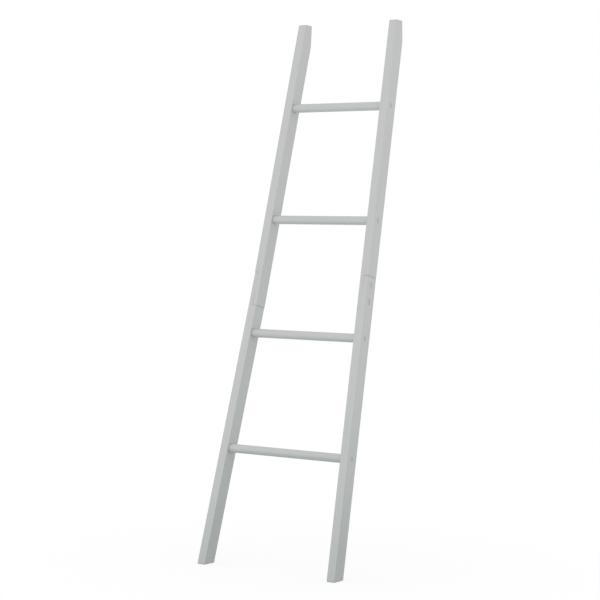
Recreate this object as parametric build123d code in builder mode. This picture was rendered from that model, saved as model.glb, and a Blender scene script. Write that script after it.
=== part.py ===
"""Leaning rung ladder: two splayed rails, each in two sections joined by a bolted half lap, and round rungs.

Millimetres and degrees. +X is to the right, +Y is back toward the wall and +Z is up. The origin is on the
floor, midway between the rails and midway between the front of the feet and the wall. The right-hand half
is modelled, and the left-hand half is its mirror image.
"""

import os
from math import cos, radians, sin, sqrt, tan

from build123d import *

os.makedirs("parts", exist_ok=True)

# Rails
rail_width = 26.0  # across the ladder
rail_depth = 45.0  # front face to back face
rail_edge_round = 1.5  # along the four long edges and up the wall bevel
end_chamfer = 2.0  # round the foot and the level top
foot_spread = 434.0  # between the rail centre lines on the floor
lower_lean = 13.6  # degrees back from upright, below the lap
upper_lean = 12.7  # degrees back from upright, above the lap
lower_splay = 2.6  # degrees that each rail tips toward the other, below the lap
upper_splay = 1.9  # degrees that each rail tips toward the other, above the lap
top_above_rung = 252.0  # top rung's axis to the level cut at the top
wall_bevel_height = 63.0  # upright cut that lies against the wall

# Rungs, counted from the floor, with places measured up the rail's centre line
rung_diameter = 25.0
first_rung = 336.0
rung_pitch = 340.0
rung_count = 4
lower_rung_count = 2
rung_forward = 5.0  # rungs and lap bolts lie this far in front of the rail's mid-depth
socket_depth = 10.0  # blind socket in the rail's inner face
socket_clearance = 0.15  # round the rung
socket_end_gap = 0.3  # behind the rung's end

# Half lap: the lower section's tongue is outside, and the upper section's is inside
lap_above_rung = 128.0  # from the rung below to the middle of the lap
lap_length = 98.0
lap_shoulder_gap = 0.4  # between a tongue's end and the shoulder it meets
lap_bolt_from_end = 24.5  # from each end of the lap to the bolt near it

# Fasteners, all with a cylindrical head and a hexagon socket
head_diameter = 15.5
head_thickness = 3.0
head_recess = 1.0  # from the rail's outer face down to the head
head_clearance = 0.25  # round the head
drive_across_flats = 4.0
drive_depth = 1.5
shank_clearance = 0.25  # round a shank that passes through wood
thread_clearance = 0.05  # round a shank or an insert that is screwed in
screw_diameter = 7.0
screw_length = 50.0
bolt_diameter = 6.0
insert_diameter = 10.0
insert_length = 9.0
blind_end_gap = 0.5  # past the end of a screw, a bolt or an insert

# Directions up the right-hand rail, and places on its centre line measured from the middle of its foot


def rail_direction(lean, splay):
    """Unit vector up the right-hand rail."""
    return Vector(-tan(radians(splay)), tan(radians(lean)), 1).normalized()


def level_half_depth(lean):
    """Half the rail's depth, measured level from its centre line to its front or back face."""
    return rail_depth / 2 / cos(radians(lean))


lower_up = rail_direction(lower_lean, lower_splay)
upper_up = rail_direction(upper_lean, upper_splay)
lap_up = (lower_up + upper_up).normalized()

lap_station = first_rung + (lower_rung_count - 1) * rung_pitch + lap_above_rung
top_rung_station = first_rung + (rung_count - 1) * rung_pitch
foot_to_lap = lower_up * lap_station
foot_to_top_rung = foot_to_lap + upper_up * (top_rung_station - lap_station)

overall_height = foot_to_top_rung.Z + top_above_rung
bevel_rise = overall_height - wall_bevel_height - foot_to_lap.Z
foot_to_wall = foot_to_lap.Y + bevel_rise * tan(radians(upper_lean)) + level_half_depth(upper_lean)
foot_to_front = end_chamfer * sin(radians(lower_lean)) - level_half_depth(lower_lean)
overall_depth = foot_to_wall - foot_to_front

foot = Vector(foot_spread / 2, -overall_depth / 2 - foot_to_front, 0)
lap_middle = foot + foot_to_lap
wall_face = Plane((0, overall_depth / 2, 0), x_dir=(1, 0, 0), z_dir=(0, 1, 0))
top_face = Plane.XY.offset(overall_height)

socket_radius = rung_diameter / 2 + socket_clearance
head_seat_depth = head_recess + head_thickness
head_hole_radius = head_diameter / 2 + head_clearance
screw_hole_radius = screw_diameter / 2 + shank_clearance
bolt_hole_radius = bolt_diameter / 2 + shank_clearance


def square_to_rail(origin, up):
    """Plane square to the rail, with local X to the right and local Y back."""
    return Plane(origin, x_dir=Vector(1, 0, 0) - up * up.X, z_dir=up)


def half_width_along_rung(up):
    """Half the rail's width, measured level along a rung's axis."""
    return rail_width / 2 / sqrt(1 - up.X**2)


class RungSeat:
    """Where a rung meets the right-hand rail: its axis, the rail's faces, its end and its screw's seat."""

    def __init__(self, station):
        below_lap = station < lap_station
        up = lower_up if below_lap else upper_up
        centre = foot + up * station if below_lap else lap_middle + up * (station - lap_station)
        across = square_to_rail(centre, up).x_dir
        mid_width = centre.X + rung_forward * across.Y / across.X
        self.axis_point = Vector(mid_width, centre.Y - rung_forward, centre.Z)
        self.inner_face = mid_width - half_width_along_rung(up)
        self.outer_face = mid_width + half_width_along_rung(up)
        self.rung_end = self.inner_face + socket_depth - socket_end_gap
        self.screw_seat = self.outer_face - head_seat_depth

    def plane(self, x, facing):
        """Plane square to the rung at a place along it, facing +1 outward or -1 inward."""
        return Plane((x, self.axis_point.Y, self.axis_point.Z), x_dir=(0, 1, 0), z_dir=(facing, 0, 0))


rung_seats = [RungSeat(first_rung + i * rung_pitch) for i in range(rung_count)]
lower_seats = rung_seats[:lower_rung_count]
upper_seats = rung_seats[lower_rung_count:]

# The lap's own planes: its side view for the stepped cut, and the face where the two tongues meet
lap_square = square_to_rail(lap_middle, lap_up)
lap_side = Plane(lap_middle, x_dir=lap_square.x_dir, z_dir=-lap_square.y_dir)
lap_end = lap_length / 2
lap_bolt_reach = lap_end - lap_bolt_from_end
lap_bolt_middle = lap_middle - lap_square.y_dir * rung_forward
lap_faces = [
    Plane(lap_bolt_middle + lap_up * up_lap, x_dir=lap_up, z_dir=lap_square.x_dir)
    for up_lap in (-lap_bolt_reach, lap_bolt_reach)
]
lap_outer_faces = [face.offset(rail_width / 2) for face in lap_faces]
bolt_seats = [face.offset(-head_seat_depth) for face in lap_outer_faces]


def lap_step(inner_end, outer_end, far_end):
    """Corners of a stepped cut, seen from the side: X is outward and Y is up the rail."""
    return [
        (-rail_width, inner_end),
        (0, inner_end),
        (0, outer_end),
        (rail_width, outer_end),
        (rail_width, far_end),
        (-rail_width, far_end),
    ]


past_lap = 2 * lap_length
lower_lap_cut = lap_step(-lap_end, lap_end - lap_shoulder_gap, past_lap)
upper_lap_cut = lap_step(lap_shoulder_gap - lap_end, lap_end, -past_lap)


def save(piece, name):
    """Label a finished piece and write it as its own file."""
    piece.part.label = name
    export_step(piece.part, f"parts/{name}.step")


def save_right_and_left(piece, name):
    """Save a right-hand piece, and its mirror image as a piece of its own."""
    save(piece, f"right_{name}")
    with BuildPart() as twin:
        mirror(piece.part, about=Plane.YZ)
    save(twin, f"left_{name}")


def save_pair(piece, name):
    """Save a right-hand fastener and its mirror image together, as two separate solids."""
    with BuildPart() as pair:
        add(piece.part)
        mirror(piece.part, about=Plane.YZ)
    save(pair, name)


# Lower rail section: level foot, sockets and screw seats, and an outer tongue with the bolt seats
with BuildPart() as lower_rail:
    with BuildSketch(square_to_rail(foot - lower_up * rail_depth, lower_up)):
        Rectangle(rail_width, rail_depth)
    extrude(amount=rail_depth + lap_station + lap_length)
    split(bisect_by=Plane.XY, keep=Keep.TOP)
    chamfer(faces().sort_by(Axis.Z)[0].edges(), end_chamfer)
    fillet(edges().filter_by(Axis(foot, lower_up)), rail_edge_round)
    with BuildSketch(lap_side):
        with BuildLine():
            Polyline(*lower_lap_cut, close=True)
        make_face()
    extrude(amount=rail_depth, both=True, mode=Mode.SUBTRACT)
    with Locations(*[seat.plane(seat.inner_face, -1) for seat in lower_seats]):
        Hole(socket_radius, depth=socket_depth)
    with Locations(*[seat.plane(seat.outer_face, 1) for seat in lower_seats]):
        CounterBoreHole(screw_hole_radius, head_hole_radius, head_seat_depth)
    with Locations(*lap_outer_faces):
        CounterBoreHole(bolt_hole_radius, head_hole_radius, head_seat_depth)
save_right_and_left(lower_rail, "lower_rail")

# Upper rail section: level top, upright wall bevel, sockets, screw seats, and an inner tongue with inserts
with BuildPart() as upper_rail:
    with BuildSketch(square_to_rail(lap_middle - upper_up * lap_length, upper_up)):
        Rectangle(rail_width, rail_depth)
    extrude(amount=lap_length + overall_height)
    split(bisect_by=top_face, keep=Keep.BOTTOM)
    split(bisect_by=wall_face, keep=Keep.BOTTOM)
    chamfer(faces().sort_by(Axis.Z)[-1].edges(), end_chamfer)
    wall_edges = faces().sort_by(Axis.Y)[-1].edges().filter_by(lambda edge: abs(edge.tangent_at(0).Z) > 0.5)
    fillet(edges().filter_by(Axis(lap_middle, upper_up)) + wall_edges, rail_edge_round)
    with BuildSketch(lap_side):
        with BuildLine():
            Polyline(*upper_lap_cut, close=True)
        make_face()
    extrude(amount=rail_depth, both=True, mode=Mode.SUBTRACT)
    with Locations(*[seat.plane(seat.inner_face, -1) for seat in upper_seats]):
        Hole(socket_radius, depth=socket_depth)
    with Locations(*[seat.plane(seat.outer_face, 1) for seat in upper_seats]):
        CounterBoreHole(screw_hole_radius, head_hole_radius, head_seat_depth)
    with Locations(*lap_faces):
        Hole(insert_diameter / 2 + thread_clearance, depth=insert_length + blind_end_gap)
save_right_and_left(upper_rail, "upper_rail")

# Rungs: round bars with a pilot hole for the screw in each end
for number, seat in enumerate(rung_seats, start=1):
    pilot_depth = seat.rung_end - seat.screw_seat + screw_length + blind_end_gap
    with BuildPart() as rung:
        with BuildSketch(seat.plane(0, 1)):
            Circle(rung_diameter / 2)
        extrude(amount=seat.rung_end, both=True)
        with Locations(seat.plane(seat.rung_end, 1), seat.plane(-seat.rung_end, -1)):
            Hole(screw_diameter / 2 + thread_clearance, depth=pilot_depth)
    save(rung, f"rung_{number}")


def socket_head_fastener(seat, diameter, length):
    """Screw or bolt whose head sits on the seat plane, with a hexagon socket in the head."""
    with BuildPart() as fastener:
        with BuildSketch(seat):
            Circle(head_diameter / 2)
        extrude(amount=head_thickness)
        with BuildSketch(seat):
            Circle(diameter / 2)
        extrude(amount=-length)
        with BuildSketch(seat.offset(head_thickness)):
            RegularPolygon(drive_across_flats / 2, 6, major_radius=False)
        extrude(amount=-drive_depth, mode=Mode.SUBTRACT)
    return fastener


# Rung screws, one through each rail into each rung's end
for number, seat in enumerate(rung_seats, start=1):
    rung_screw = socket_head_fastener(seat.plane(seat.screw_seat, 1), screw_diameter, screw_length)
    save_pair(rung_screw, f"rung_screws_{number}")

# Lap bolts and the threaded inserts that they are screwed into
bolt_length = rail_width / 2 - head_seat_depth + insert_length
for level, bolt_seat, lap_face in zip(("lower", "upper"), bolt_seats, lap_faces):
    lap_bolt = socket_head_fastener(bolt_seat, bolt_diameter, bolt_length)
    save_pair(lap_bolt, f"{level}_lap_bolts")
    with BuildPart() as lap_insert:
        with BuildSketch(lap_face):
            Circle(insert_diameter / 2)
            Circle(bolt_diameter / 2 + thread_clearance, mode=Mode.SUBTRACT)
        extrude(amount=-insert_length)
    save_pair(lap_insert, f"{level}_lap_inserts")
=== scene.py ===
"""Looks of a leaning rung ladder: satin grey paint on wood, plated screws and bolts, and brass inserts.

Metres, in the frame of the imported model: +X is right, +Y is back toward the wall and +Z is up, with the
floor at zero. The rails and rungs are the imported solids, painted. The screws, bolts and inserts are made
here, with their threads, and stand for the plain ones.
"""

from math import radians, tau

import bpy
import numpy as np
from mathutils import Euler, Matrix, Quaternion, Vector


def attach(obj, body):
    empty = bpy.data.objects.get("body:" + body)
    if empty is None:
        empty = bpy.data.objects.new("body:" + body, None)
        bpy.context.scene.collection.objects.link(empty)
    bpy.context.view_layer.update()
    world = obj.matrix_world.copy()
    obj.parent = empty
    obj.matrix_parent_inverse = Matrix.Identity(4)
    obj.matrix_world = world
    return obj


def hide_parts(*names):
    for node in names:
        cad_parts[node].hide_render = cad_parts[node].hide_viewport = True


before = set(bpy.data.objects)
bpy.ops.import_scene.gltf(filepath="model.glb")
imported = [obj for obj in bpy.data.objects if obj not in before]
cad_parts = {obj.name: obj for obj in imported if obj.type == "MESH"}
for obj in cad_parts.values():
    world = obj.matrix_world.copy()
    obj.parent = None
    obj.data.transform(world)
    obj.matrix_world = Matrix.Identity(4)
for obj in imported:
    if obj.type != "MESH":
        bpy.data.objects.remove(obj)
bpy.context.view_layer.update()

mm = 0.001

# Camera, at the photograph's viewing angle
camera_place = (2.7457, -4.2801, 0.8729)
camera_turn = 32.988  # degrees to the left of straight back
camera_tilt = -1.305  # degrees above level
camera_roll = 1.385  # degrees
camera_lens = 106.66  # millimetres, on a sensor 36 wide

# Fasteners, at the sizes of the plain ones that they stand for
rung_count = 4  # with a screw at each end
head_radius = 7.75 * mm
head_thickness = 3.0 * mm
head_chamfer = 0.2 * mm
drive_across_flats = 4.0 * mm
drive_depth = 1.5 * mm
screw_radius = 3.5 * mm
screw_root_radius = 2.5 * mm
screw_length = 50.0 * mm
screw_plain_length = 12.0 * mm  # under the head, before the thread
screw_tip_length = 6.0 * mm
screw_thread_pitch = 3.0 * mm
screw_thread_sharpness = 2.2  # pitch over the width of the ridge
bolt_radius = 3.0 * mm
bolt_root_radius = 2.45 * mm
bolt_length = 18.0 * mm
bolt_plain_length = 2.0 * mm
bolt_tip_length = 0.8 * mm
bolt_thread_pitch = 1.0 * mm
bolt_thread_sharpness = 1.0
insert_radius = 5.0 * mm
insert_root_radius = 4.3 * mm
insert_length = 9.0 * mm
insert_thread_pitch = 2.5 * mm
insert_thread_sharpness = 1.6
thread_clearance = 0.05 * mm
tip_share = 0.25  # a blunt tip's share of the shank's radius
smooth_angle = 35.0  # degrees, past which an edge of a fastener is sharp

# Points round a ring and along one turn of a thread
ring_points = 48
rows_per_turn = 10

# Cut edges of the rails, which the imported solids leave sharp
eased_edge = 0.5 * mm
join_distance = 0.01 * mm  # between vertices that are one
flat_angle = 1.0  # degrees, within which two triangles are one flat face
cut_angle = 75.0  # degrees, past which an edge is a cut

# Wood and paint, with the sizes of what varies given across and along the grain
paint_light = (0.573, 0.590, 0.583, 1.0)
paint_dark = (0.523, 0.540, 0.533, 1.0)
paint_roughness = 0.44
roughness_spread = 0.12
paint_relief = 0.075 * mm
mottle_size = (110 * mm, 250 * mm)
mottle_tone = 1.1  # share of the step from dark to light paint
brush_mark_size = (2.4 * mm, 140 * mm)
brush_mark_tone = 0.9
brush_mark_height = 0.6  # share of the relief
stipple_size = (0.7 * mm, 0.7 * mm)
stipple_height = 0.2
ring_spacing = 3.2 * mm  # growth rings of the wood under the paint
ring_drift_size = (70 * mm, 620 * mm)
ring_drift = 3.0  # rings
late_wood_tone = 0.2
late_wood_height = 0.8
first_grain_shift = (30 * mm, 50 * mm, 0.0)  # moves the pith line off the axes
next_grain_shift = (4 * mm, 0.0, 370 * mm)  # added for each next piece, so that no two look alike

# Metal, and the chips in the paint on its heads
zinc_dark = (0.46, 0.46, 0.45, 1.0)
zinc_light = (0.68, 0.68, 0.66, 1.0)
zinc_roughness = 0.38
brass_dark = (0.60, 0.43, 0.19, 1.0)
brass_light = (0.80, 0.62, 0.30, 1.0)
brass_roughness = 0.32
metal_relief = 0.01 * mm
turning_mark_spacing = 0.33 * mm
turning_mark_tone = 0.4  # share of the step from dark to light metal
turning_mark_roughness = 0.15
stain_size = (3.8 * mm, 3.8 * mm)
stain_tone = 0.6
stain_roughness = 0.25
chip_size = (1.25 * mm, 1.25 * mm)
chip_edge = (0.64, 0.68)  # noise at a chip's outer and inner edge

# Light and floor
ambient = 0.897
softboxes = {
    "front_softbox": {
        "place": (-1.1, -2.35, 0.58),
        "aim": (0.0, 0.0, 0.6),
        "size": (1.5, 1.5),
        "power": 6.6,
    },
    "top_softbox": {
        "place": (0.0, -0.3, 3.2),
        "aim": (0.0, 0.0, 0.8),
        "size": (2.0, 2.0),
        "power": 2.4,
    },
}
white_colour = (1.0, 1.0, 1.0, 1.0)
floor_colour = (0.44, 0.51, 0.50, 1.0)
floor_radius = 1.0
floor_middle_radius = 0.1  # of the disc inside the rings
floor_rings = 24
shadow_share = 0.2  # how much of its own shading the floor shows beside the ladder
shadow_radius = 0.3  # from where that share fades out to nothing at the floor's edge


class Wire:
    """An output socket in a node tree, or the bare tree. Arithmetic on a wire adds Math nodes."""

    def __init__(self, tree, socket=None):
        self.tree = tree
        self.socket = socket

    def node(self, kind, settings=None, inputs=None, output=0):
        """Add a node: its settings first, then each input's value or wire. Gives one of its outputs."""
        node = self.tree.nodes.new("ShaderNode" + kind)
        for name, setting in (settings or {}).items():
            setattr(node, name, setting)
        for key, value in (inputs or {}).items():
            if isinstance(value, Wire):
                self.tree.links.new(value.socket, node.inputs[key])
            else:
                node.inputs[key].default_value = value
        return Wire(self.tree, node.outputs[output] if node.outputs else None)

    def math(self, operation, first, second):
        return self.node("Math", {"operation": operation}, {0: first, 1: second})

    def __add__(self, other):
        return self.math("ADD", self, other)

    def __radd__(self, other):
        return self.math("ADD", other, self)

    def __sub__(self, other):
        return self.math("SUBTRACT", self, other)

    def __rsub__(self, other):
        return self.math("SUBTRACT", other, self)

    def __mul__(self, other):
        return self.math("MULTIPLY", self, other)

    def __rmul__(self, other):
        return self.math("MULTIPLY", other, self)

    def __truediv__(self, other):
        return self.math("DIVIDE", self, other)

    def __pow__(self, other):
        return self.math("POWER", self, other)

    def vector_math(self, operation, second, output=0):
        return self.node("VectorMath", {"operation": operation}, {0: self, 1: second}, output)

    def length(self):
        return self.vector_math("LENGTH", (0, 0, 0), "Value")

    def noise(self, size, detail=2.0):
        """Noise from 0 to 1 at the wire's vector, with features of this size across and along its Z."""
        across, along = size
        place = self.vector_math("DIVIDE", (across, across, along))
        return self.node("TexNoise", inputs={"Vector": place, "Scale": 1.0, "Detail": detail})

    def bumps(self, relief):
        """Normal of a surface whose height is the wire times the relief."""
        return self.node("Bump", inputs={"Strength": 1.0, "Distance": relief, "Height": self})

    def between(self, first, second):
        """Colour that goes from the first to the second as the wire goes from 0 to 1."""
        return self.node("Mix", {"data_type": "RGBA"}, {0: self, 6: first, 7: second}, output=2)


def empty_material(name):
    material = bpy.data.materials.new(name)
    material.use_nodes = True
    material.node_tree.nodes.clear()
    return material


def finish_material(tree, sockets):
    """Principled shader with these sockets, as the tree's surface."""
    surface = tree.node("BsdfPrincipled", inputs=sockets)
    tree.node("OutputMaterial", inputs={"Surface": surface})


def painted_wood(name, to_grain, shift):
    """Satin grey paint on softwood.

    Object coordinates turned by to_grain, then moved by shift, have the grain along Z and the pith on it.
    Growth rings are cylinders about the pith, bent by a slow noise. Late wood grows with the cube of the
    distance across each ring and stands a little proud under the paint, with brush marks along the grain
    and a fine stipple over it.
    """
    material = empty_material(name)
    tree = Wire(material.node_tree)
    place = tree.node("TexCoord", output="Object")
    grain = tree.node("Mapping", inputs={"Vector": place, "Rotation": to_grain, "Location": shift})
    from_pith = grain.vector_math("MULTIPLY", (1, 1, 0)).length()
    rings = from_pith / ring_spacing + grain.noise(ring_drift_size) * ring_drift
    late_wood = tree.math("FRACT", rings, 0.0) ** 3
    mottle = grain.noise(mottle_size, 3.0) - 0.5
    brush = grain.noise(brush_mark_size, 3.0) - 0.5
    stipple = grain.noise(stipple_size, 1.0)
    tone = 0.5 + mottle * mottle_tone + brush * brush_mark_tone - late_wood * late_wood_tone
    height = late_wood * late_wood_height + brush * brush_mark_height + stipple * stipple_height
    finish_material(tree, {
        "Base Color": tone.between(paint_dark, paint_light),
        "Roughness": paint_roughness + (mottle + brush) * roughness_spread,
        "Normal": height.bumps(paint_relief),
    })
    return material


def turned_metal(name, dark, light, roughness):
    """Metal with turning marks, which follow the distance along the piece's profile.

    Where the piece's on_head attribute is 1 it is painted like the wood, apart from small chips.
    """
    material = empty_material(name)
    tree = Wire(material.node_tree)
    place = tree.node("TexCoord", output="Object")
    along = tree.node("Attribute", {"attribute_name": "along"}, output="Fac")
    on_head = tree.node("Attribute", {"attribute_name": "on_head"}, output="Fac")
    mark_sockets = {"W": along, "Scale": 1 / turning_mark_spacing, "Detail": 2.0}
    marks = tree.node("TexNoise", {"noise_dimensions": "1D"}, mark_sockets)
    stain = place.noise(stain_size, 3.0)
    chips = place.noise(chip_size)
    outer, inner = chip_edge
    whole = {"Value": chips, "From Min": outer, "From Max": inner, "To Min": 1.0, "To Max": 0.0}
    paint = on_head * tree.node("MapRange", inputs=whole)
    metal = (marks * turning_mark_tone + stain * stain_tone).between(dark, light)
    coat = stain.between(paint_dark, paint_light)
    stained = roughness + (stain - 0.5) * stain_roughness
    bare_roughness = stained + (marks - 0.5) * turning_mark_roughness
    height = marks * (1 - paint) + paint
    finish_material(tree, {
        "Base Color": paint.between(metal, coat),
        "Metallic": 1 - paint,
        "Roughness": bare_roughness * (1 - paint) + paint_roughness * paint,
        "Normal": height.bumps(metal_relief),
    })
    return material


def rail_axes(node):
    """Rows across, through and along a rail, from its face normals.

    The normals' outer products are summed with the square of each face's area, so the long sides decide.
    Of the three main directions of that sum, the steepest runs along the rail, and the one nearest to X
    across it.
    """
    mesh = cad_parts[node].data
    normals = np.empty(3 * len(mesh.polygons))
    areas = np.empty(len(mesh.polygons))
    mesh.polygons.foreach_get("normal", normals)
    mesh.polygons.foreach_get("area", areas)
    normals = normals.reshape(-1, 3)
    directions = np.linalg.eigh((normals.T * areas**2) @ normals)[1].T
    along = directions[np.argmax(np.abs(directions[:, 2]))]
    across = directions[np.argmax(np.abs(directions[:, 0]))]
    along = along * np.sign(along[2])
    across = across * np.sign(across[0])
    return np.array([across, np.cross(along, across), along])


def paint_wood_nodes():
    """Paint each rail with its grain along it, and the rungs with theirs along X."""
    rung_axes = [(0, 1, 0), (0, 0, 1), (1, 0, 0)]
    for number, node in enumerate(sorted(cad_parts)):
        if node.endswith("_rail"):
            axes = rail_axes(node)
        elif node.startswith("rung_") and "screws" not in node:
            axes = rung_axes
        else:
            continue
        shift = Vector(first_grain_shift) + number * Vector(next_grain_shift)
        wood = painted_wood("paint_" + node, Matrix(axes).to_euler(), shift)
        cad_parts[node].material_slots[0].material = wood


def ease_rail_edges():
    """Round the rails' cut edges: join each flat face's triangles, then bevel the cuts between the faces.

    The chamfers and the rounded long edges turn by less than a cut does, so they stay as imported.
    """
    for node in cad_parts:
        if not node.endswith("_rail"):
            continue
        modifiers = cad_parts[node].modifiers
        modifiers.new("join_triangles", "WELD").merge_threshold = join_distance
        flat_faces = modifiers.new("flat_faces", "DECIMATE")
        flat_faces.decimate_type = "DISSOLVE"
        flat_faces.angle_limit = radians(flat_angle)
        eased = modifiers.new("eased_edges", "BEVEL")
        eased.width = eased_edge
        eased.segments = 2
        eased.limit_method = "ANGLE"
        eased.angle_limit = radians(cut_angle)
        eased.loop_slide = False
        eased.use_clamp_overlap = False
        modifiers.new("even_shading", "WEIGHTED_NORMAL").weight = 100


def quad_grid(rows, columns, wrap_rows=False):
    """Vertex numbers of a grid's quads. Its columns close into rings, and so do its rows if they wrap."""
    row = np.arange(rows if wrap_rows else rows - 1)[:, None] * columns
    above = (row + columns) % (rows * columns)
    here = np.arange(columns)[None, :]
    ahead = (here + 1) % columns
    return np.stack([row + here, row + ahead, above + ahead, above + here], axis=-1).reshape(-1, 4)


ring_angles = tau * np.arange(ring_points) / ring_points


def thread_ridge(height, pitch, sharpness):
    """Right-hand thread: 0 at its root and 1 at its crest, on a grid of heights by angles.

    The crest is where height / pitch - angle / turn is a whole number and a half. Sharpness narrows it.
    """
    turns = height[:, None] / pitch - ring_angles[None, :] / tau
    return np.clip(1 - sharpness * np.abs(2 * (turns % 1) - 1), 0, 1)


def threaded_shank(radius, root, length, plain, tip, pitch, sharpness):
    """Rings of a shank, from its tip up to the head's seat, and their heights.

    A ring's radius is root + ridge * fade * (radius - root), times the taper. The ridge fades in over one
    turn below the plain length, the tip tapers over its own length, and a short shoulder leads from the
    thread's root to the plain neck.
    """
    height = np.linspace(-length, -plain, int(rows_per_turn * (length - plain) / pitch))
    fade = np.clip((-plain - height) / pitch, 0, 1)
    taper = np.clip((height + length) / tip, 0, 1)[:, None]
    rings = root + thread_ridge(height, pitch, sharpness) * fade[:, None] * (radius - root)
    rings = rings * (tip_share + (1 - tip_share) * taper)
    neck = np.full((2, ring_points), radius)
    shoulder = root / 4
    neck_height = np.array([shoulder - plain, 0.0])
    return np.vstack([rings, neck]), np.concatenate([height, neck_height])


def socket_head():
    """Rings of a head from under its rim, round its chamfer and down into the hexagon socket.

    The socket's radius is half its width across flats, over the cosine of the angle from a flat's middle.
    """
    flat = tau / 6
    hexagon = drive_across_flats / 2 / np.cos(ring_angles % flat - flat / 2)
    rim = np.ones(ring_points)
    rings = [rim * head_radius, rim * head_radius, rim * (head_radius - head_chamfer), hexagon, hexagon]
    top = head_thickness
    return np.array(rings), np.array([0.0, top - head_chamfer, top, top, top - drive_depth])


def new_piece(name, vertices, faces, along, on_head, material, node):
    """Mesh piece that rides on the ladder and stands for a CAD node.

    Its attributes are the distance along its profile, and 1 on a painted head.
    """
    mesh = bpy.data.meshes.new(name)
    mesh.from_pydata(vertices.tolist(), [], faces)
    for attribute_name, values in (("along", along), ("on_head", on_head)):
        attribute = mesh.attributes.new(attribute_name, "FLOAT", "POINT")
        attribute.data.foreach_set("value", values.astype(np.float32))
    mesh.shade_smooth()
    mesh.set_sharp_from_angle(angle=radians(smooth_angle))
    mesh.materials.append(material)
    piece = bpy.data.objects.new(name, mesh)
    bpy.context.scene.collection.objects.link(piece)
    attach(piece, "root")
    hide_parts(node)
    return piece


def on_axis(rings, height, seat, axes):
    """Points seat + side * r cos a + up * r sin a + out * h, for rings of radius r at height h on out."""
    side, up, out = axes
    round_axis = np.cos(ring_angles)[:, None] * side + np.sin(ring_angles)[:, None] * up
    points = rings[:, :, None] * round_axis[None, :, :] + height[:, None, None] * out + seat
    return points.reshape(-1, 3)


def profile_length(rings, height):
    """Distance along the profile to each ring, once for every point of the ring."""
    steps = np.hypot(np.diff(rings.mean(axis=1)), np.diff(height))
    return np.repeat(np.concatenate([[0.0], np.cumsum(steps)]), ring_points)


def fastener(name, shank, seat, axes, material, node):
    """Screw or bolt: the shank's rings and the head's in one surface, closed by a point at each end."""
    head_rings, head_height = socket_head()
    rings = np.vstack([shank[0], head_rings])
    height = np.concatenate([shank[1], head_height])
    points = on_axis(rings, height, seat, axes)
    ends = seat + np.outer(height[[0, -1]], axes[2])
    first, last = len(points), len(points) + 1
    here = np.arange(ring_points)
    ahead = (here + 1) % ring_points
    top_row = len(points) - ring_points
    tip_fan = np.stack([np.full(ring_points, first), ahead, here], axis=-1)
    floor_fan = np.stack([np.full(ring_points, last), top_row + here, top_row + ahead], axis=-1)
    faces = quad_grid(*rings.shape).tolist() + tip_fan.tolist() + floor_fan.tolist()
    along = profile_length(rings, height)
    along = np.concatenate([along, along[[0, -1]]])
    on_head = np.arange(len(along)) >= len(points) - head_rings.size
    on_head[first] = False
    piece = new_piece(name, np.vstack([points, ends]), faces, along, on_head, material, node)


def threaded_insert(name, bolt_shank_height, seat, axes, material, node):
    """Tube with a coarse thread outside, and a bore that follows the bolt's thread with a clearance."""
    outer_rows = int(rows_per_turn * insert_length / insert_thread_pitch)
    outer_height = np.linspace(-insert_length, 0, outer_rows)
    ridge = thread_ridge(outer_height, insert_thread_pitch, insert_thread_sharpness)
    outer = insert_root_radius + ridge * (insert_radius - insert_root_radius)
    bore_rows = int(rows_per_turn * insert_length / bolt_thread_pitch)
    bore_height = np.linspace(0, -insert_length, bore_rows)
    bore_ridge = thread_ridge(bore_height - bolt_shank_height, bolt_thread_pitch, bolt_thread_sharpness)
    bore = bolt_root_radius + bore_ridge * (bolt_radius - bolt_root_radius) + thread_clearance
    rings = np.vstack([outer, bore])
    height = np.concatenate([outer_height, bore_height])
    points = on_axis(rings, height, seat, axes)
    faces = quad_grid(*rings.shape, wrap_rows=True).tolist()
    along = profile_length(rings, height)
    piece = new_piece(name, points, faces, along, np.zeros(len(along)), material, node)


def side_points(node, side):
    """Vertices of a pair's solid on one side of the ladder, +1 right or -1 left."""
    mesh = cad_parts[node].data
    points = np.empty(3 * len(mesh.vertices))
    mesh.vertices.foreach_get("co", points)
    points = points.reshape(-1, 3)
    return points[points[:, 0] * side > 0]


def outward_axes(out):
    """Rows side, up and out, a right-handed frame about an outward axis, with side toward the back."""
    side = np.array([0.0, 1.0, 0.0]) - out * out[1]
    side = side / np.linalg.norm(side)
    return np.array([side, np.cross(out, side), out])


def axis_point(points, out, below_top):
    """Point on a solid's axis, this far below its top: the middle of its box, moved along the axis."""
    middle = (points.min(axis=0) + points.max(axis=0)) / 2
    return middle + out * ((points @ out).max() - below_top - middle @ out)


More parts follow.
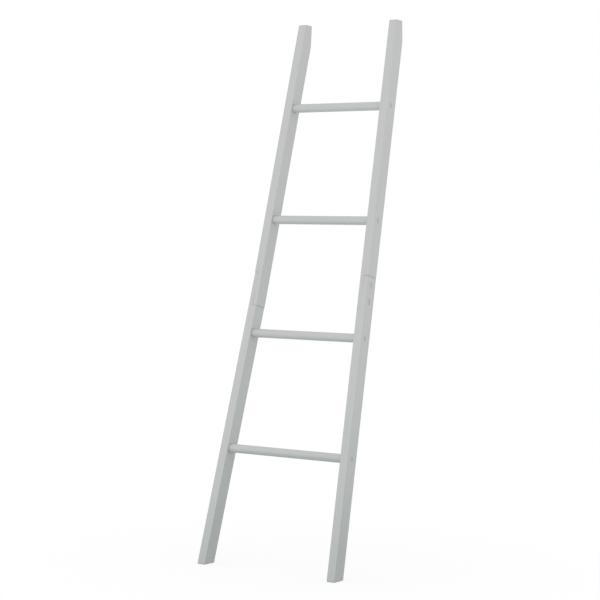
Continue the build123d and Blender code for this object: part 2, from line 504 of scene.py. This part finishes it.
def add_fasteners():
    """Threaded screws, bolts and inserts in place of the plain ones, on both sides."""
    steel = turned_metal("zinc_plate", zinc_dark, zinc_light, zinc_roughness)
    brass = turned_metal("brass", brass_dark, brass_light, brass_roughness)
    screw_shank = threaded_shank(
        screw_radius,
        screw_root_radius,
        screw_length,
        screw_plain_length,
        screw_tip_length,
        screw_thread_pitch,
        screw_thread_sharpness,
    )
    bolt_shank = threaded_shank(
        bolt_radius,
        bolt_root_radius,
        bolt_length,
        bolt_plain_length,
        bolt_tip_length,
        bolt_thread_pitch,
        bolt_thread_sharpness,
    )
    lap_up = rail_axes("right_lower_rail")[2] + rail_axes("right_upper_rail")[2]
    lap_up = lap_up / np.linalg.norm(lap_up)
    lap_out = np.array([1.0, 0.0, 0.0]) - lap_up * lap_up[0]
    lap_out = lap_out / np.linalg.norm(lap_out)
    for side_name, side in (("left", -1), ("right", 1)):
        mirrored = np.array([side, 1, 1])
        for number in range(1, rung_count + 1):
            node = f"rung_screws_{number}"
            out = np.array([side, 0.0, 0.0])
            seat = axis_point(side_points(node, side), out, head_thickness)
            name = f"{side_name}_rung_screw_{number}"
            fastener(name, screw_shank, seat, outward_axes(out), steel, node)
        axes = outward_axes(lap_out * mirrored)
        for level in ("lower", "upper"):
            node = f"{level}_lap_bolts"
            bolt_seat = axis_point(side_points(node, side), axes[2], head_thickness)
            fastener(f"{side_name}_{level}_lap_bolt", bolt_shank, bolt_seat, axes, steel, node)
            node = f"{level}_lap_inserts"
            lap_face = axis_point(side_points(node, side), axes[2], 0.0)
            seat_height = (bolt_seat - lap_face) @ axes[2]
            name = f"{side_name}_{level}_lap_insert"
            threaded_insert(name, seat_height, lap_face, axes, brass, node)


def rays_to_background(tree):
    """1 for a ray that the camera, a gloss or a clear surface sends to the background, otherwise 0."""
    camera = tree.node("LightPath", output="Is Camera Ray")
    glossy = tree.node("LightPath", output="Is Glossy Ray")
    through = tree.node("LightPath", output="Is Transmission Ray")
    return tree.math("MAXIMUM", tree.math("MAXIMUM", camera, glossy), through)


def add_floor():
    """Pale round floor, white to the camera: it keeps the ladder's shadow and fades to plain white."""
    rings = np.linspace(floor_middle_radius, floor_radius, floor_rings)[:, None] * np.ones(ring_points)
    axes = np.array([(1.0, 0.0, 0.0), (0.0, 1.0, 0.0), (0.0, 0.0, 1.0)])
    points = on_axis(rings, np.zeros(len(rings)), np.zeros(3), axes)
    faces = quad_grid(*rings.shape)[:, ::-1].tolist() + [list(range(ring_points))]
    mesh = bpy.data.meshes.new("floor")
    mesh.from_pydata(points.tolist(), [], faces)
    floor = bpy.data.objects.new("floor", mesh)
    bpy.context.scene.collection.objects.link(floor)
    material = empty_material("pale_floor")
    tree = Wire(material.node_tree)
    distance = tree.node("TexCoord", output="Object").length()
    fade = {"Value": distance, "From Min": shadow_radius, "From Max": floor_radius}
    far = tree.node("MapRange", inputs=fade)
    seen = rays_to_background(tree)
    white_share = seen * (1 - shadow_share * (1 - far))
    own = tree.node("BsdfDiffuse", inputs={"Color": seen.between(floor_colour, white_colour)})
    white = tree.node("Emission", inputs={"Color": white_colour, "Strength": 1.0})
    surface = tree.node("MixShader", inputs={0: white_share, 1: own, 2: white})
    tree.node("OutputMaterial", inputs={"Surface": surface})
    mesh.materials.append(material)


def add_light():
    """White world that lights evenly, and soft boxes."""
    world = bpy.data.worlds.new("studio")
    bpy.context.scene.world = world
    world.use_nodes = True
    world.node_tree.nodes.clear()
    tree = Wire(world.node_tree)
    strength = ambient + (1 - ambient) * rays_to_background(tree)
    background = tree.node("Background", inputs={"Color": white_colour, "Strength": strength})
    tree.node("OutputWorld", inputs={"Surface": background})
    for name, box in softboxes.items():
        lamp = bpy.data.lights.new(name, "AREA")
        lamp.shape = "RECTANGLE"
        lamp.size, lamp.size_y = box["size"]
        lamp.energy = box["power"]
        holder = bpy.data.objects.new(name, lamp)
        holder.location = box["place"]
        holder.rotation_euler = (Vector(box["aim"]) - holder.location).to_track_quat("-Z", "Y").to_euler()
        holder.visible_camera = False
        bpy.context.scene.collection.objects.link(holder)


def add_camera():
    """Camera turned about Z, tilted, and then rolled about its own line of sight."""
    lens = bpy.data.cameras.new("camera")
    lens.lens = camera_lens
    camera = bpy.data.objects.new("camera", lens)
    camera.location = camera_place
    camera.rotation_mode = "QUATERNION"
    level = Euler((radians(90 + camera_tilt), 0.0, radians(camera_turn))).to_quaternion()
    camera.rotation_quaternion = level @ Quaternion((0.0, 0.0, 1.0), radians(camera_roll))
    bpy.context.scene.collection.objects.link(camera)
    bpy.context.scene.camera = camera


paint_wood_nodes()
ease_rail_edges()
add_fasteners()
add_floor()
add_light()
add_camera()
bpy.context.scene.view_settings.view_transform = "Standard"
